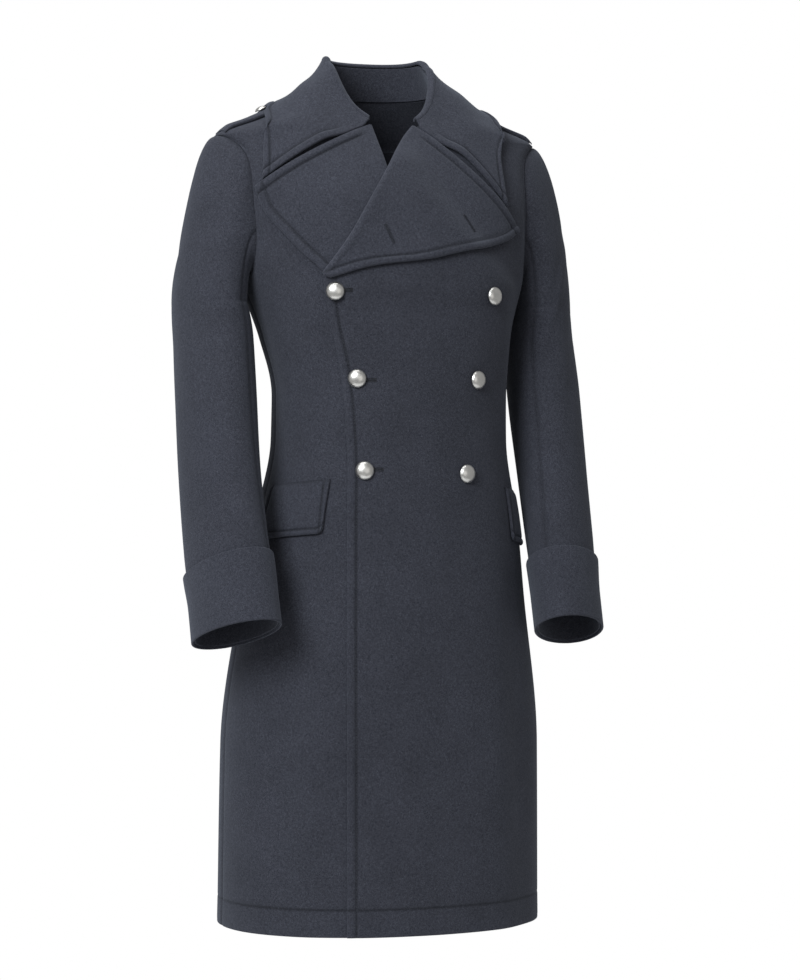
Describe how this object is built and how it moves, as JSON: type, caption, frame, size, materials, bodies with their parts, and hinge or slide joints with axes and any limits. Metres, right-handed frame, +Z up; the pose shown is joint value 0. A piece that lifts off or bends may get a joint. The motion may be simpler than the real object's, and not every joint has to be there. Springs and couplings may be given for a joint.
{
  "type": "military greatcoat",
  "caption": "Knee-length double-breasted wool greatcoat as worn, with wide collar and lapels, shoulder straps, pocket flaps, turned-back cuffs and domed buttons.",
  "frame": {"origin": "middle of the neck seam at the shoulders, where the worn coat hangs", "axes": "+Z up, -Y the way the wearer faces, +X to the wearer's left"},
  "size_m": [0.5894, 0.3638, 1.2051],
  "materials": {
    "wool": "felted dark blue-grey melange wool",
    "folded_wool": "the same wool, on the pieces that fold over or are sewn on",
    "silver_metal": "plain satin silver"
  },
  "bodies": {
    "root": {"front_left": "wool", "front_right": "wool", "back_left": "wool", "back_right": "wool", "sleeve_top_left": "wool", "sleeve_top_right": "wool", "sleeve_under_left": "wool", "sleeve_under_right": "wool", "cuff_left": "folded_wool", "cuff_right": "folded_wool", "lapel_left": "folded_wool", "lapel_right": "folded_wool", "collar_stand": "folded_wool", "collar_fall": "folded_wool", "flap_left": "folded_wool", "flap_right": "folded_wool", "epaulette_left": "folded_wool", "epaulette_right": "folded_wool", "epaulette_button_left": "silver_metal", "epaulette_button_right": "silver_metal", "button_upper_left": "silver_metal", "button_upper_right": "silver_metal", "button_middle_left": "silver_metal", "button_middle_right": "silver_metal", "button_lower_left": "silver_metal", "button_lower_right": "silver_metal"}
  },
  "joints": []
}
